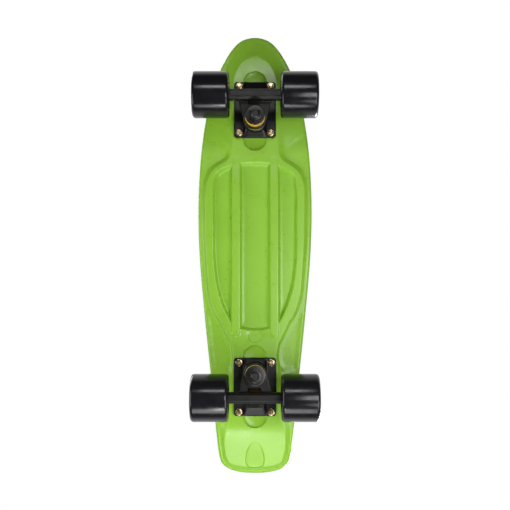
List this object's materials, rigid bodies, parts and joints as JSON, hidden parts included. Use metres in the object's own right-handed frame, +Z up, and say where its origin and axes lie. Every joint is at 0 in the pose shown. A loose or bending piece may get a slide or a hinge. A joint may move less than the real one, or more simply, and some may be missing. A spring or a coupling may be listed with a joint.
{
  "type": "cruiser skateboard",
  "caption": "Cruiser skateboard: a moulded plastic deck with a kicked tail and a ribbed underside, on sprung steering trucks, with wheels that roll on ball bearings.",
  "frame": {"origin": "on the floor, under the middle of the whole board", "axes": "+X to the right seen from above with the nose ahead, +Y from the tail to the nose, +Z up"},
  "size_m": [0.153, 0.564, 0.1064],
  "materials": {
    "deck_plastic": "moulded, satin",
    "black_paint": "glossy black paint on cast metal",
    "black_steel": "blackened steel",
    "yellow_zinc": "yellow zinc plate on steel",
    "bright_steel": "turned and bright",
    "wheel_urethane": "cast, glossy black",
    "yellow_urethane": "cast, satin yellow",
    "black_urethane": "moulded, matt black"
  },
  "bodies": {
    "board": {"deck": "deck_plastic", "front_baseplate": "black_paint", "front_pivot_cup": "black_urethane", "front_kingpin": "black_steel", "front_kingpin_nut": "black_steel", "front_board_side_bushing": "yellow_urethane", "front_board_side_cup_washer": "black_steel", "front_road_side_bushing": "yellow_urethane", "front_road_side_cup_washer": "black_steel", "front_outer_left_bolt": "yellow_zinc", "front_outer_left_bolt_nut": "yellow_zinc", "front_outer_right_bolt": "yellow_zinc", "front_outer_right_bolt_nut": "yellow_zinc", "front_inner_left_bolt": "yellow_zinc", "front_inner_left_bolt_nut": "yellow_zinc", "front_inner_right_bolt": "yellow_zinc", "front_inner_right_bolt_nut": "yellow_zinc", "rear_baseplate": "black_paint", "rear_pivot_cup": "black_urethane", "rear_kingpin": "black_steel", "rear_kingpin_nut": "black_steel", "rear_board_side_bushing": "yellow_urethane", "rear_board_side_cup_washer": "black_steel", "rear_road_side_bushing": "yellow_urethane", "rear_road_side_cup_washer": "black_steel", "rear_outer_left_bolt": "yellow_zinc", "rear_outer_left_bolt_nut": "yellow_zinc", "rear_outer_right_bolt": "yellow_zinc", "rear_outer_right_bolt_nut": "yellow_zinc", "rear_inner_left_bolt": "yellow_zinc", "rear_inner_left_bolt_nut": "yellow_zinc", "rear_inner_right_bolt": "yellow_zinc", "rear_inner_right_bolt_nut": "yellow_zinc"},
    "front_hanger": {"front_hanger": "black_paint", "front_axle": "bright_steel", "front_left_bearing_sleeve": "bright_steel", "front_left_axle_nut": "bright_steel", "front_right_bearing_sleeve": "bright_steel", "front_right_axle_nut": "bright_steel"},
    "front_left_wheel": {"front_left_wheel": "wheel_urethane", "front_left_inner_bearing": "bright_steel", "front_left_outer_bearing": "bright_steel"},
    "front_right_wheel": {"front_right_wheel": "wheel_urethane", "front_right_inner_bearing": "bright_steel", "front_right_outer_bearing": "bright_steel"},
    "rear_hanger": {"rear_hanger": "black_paint", "rear_axle": "bright_steel", "rear_left_bearing_sleeve": "bright_steel", "rear_left_axle_nut": "bright_steel", "rear_right_bearing_sleeve": "bright_steel", "rear_right_axle_nut": "bright_steel"},
    "rear_left_wheel": {"rear_left_wheel": "wheel_urethane", "rear_left_inner_bearing": "bright_steel", "rear_left_outer_bearing": "bright_steel"},
    "rear_right_wheel": {"rear_right_wheel": "wheel_urethane", "rear_right_inner_bearing": "bright_steel", "rear_right_outer_bearing": "bright_steel"}
  },
  "joints": [
    {"name": "front_truck_steer", "type": "hinge", "parent": "board", "child": "front_hanger", "pos_m": [0, 0.193, 0.06032], "axis": [0, -0.7835, -0.6214], "range_deg": [-12, 12], "stiffness_Nm_per_rad": 12, "deforming": ["front_board_side_bushing", "front_road_side_bushing"]},
    {"name": "front_left_wheel_spin", "type": "hinge", "parent": "front_hanger", "child": "front_left_wheel", "pos_m": [-0.054, 0.19, 0.02832], "axis": [1, 0, 0], "continuous": true},
    {"name": "front_right_wheel_spin", "type": "hinge", "parent": "front_hanger", "child": "front_right_wheel", "pos_m": [0.054, 0.19, 0.02832], "axis": [1, 0, 0], "continuous": true},
    {"name": "rear_truck_steer", "type": "hinge", "parent": "board", "child": "rear_hanger", "pos_m": [0, -0.1795, 0.06032], "axis": [0, 0.7835, -0.6214], "range_deg": [-12, 12], "stiffness_Nm_per_rad": 12, "deforming": ["rear_board_side_bushing", "rear_road_side_bushing"]},
    {"name": "rear_left_wheel_spin", "type": "hinge", "parent": "rear_hanger", "child": "rear_left_wheel", "pos_m": [-0.054, -0.1765, 0.02832], "axis": [1, 0, 0], "continuous": true},
    {"name": "rear_right_wheel_spin", "type": "hinge", "parent": "rear_hanger", "child": "rear_right_wheel", "pos_m": [0.054, -0.1765, 0.02832], "axis": [1, 0, 0], "continuous": true}
  ]
}
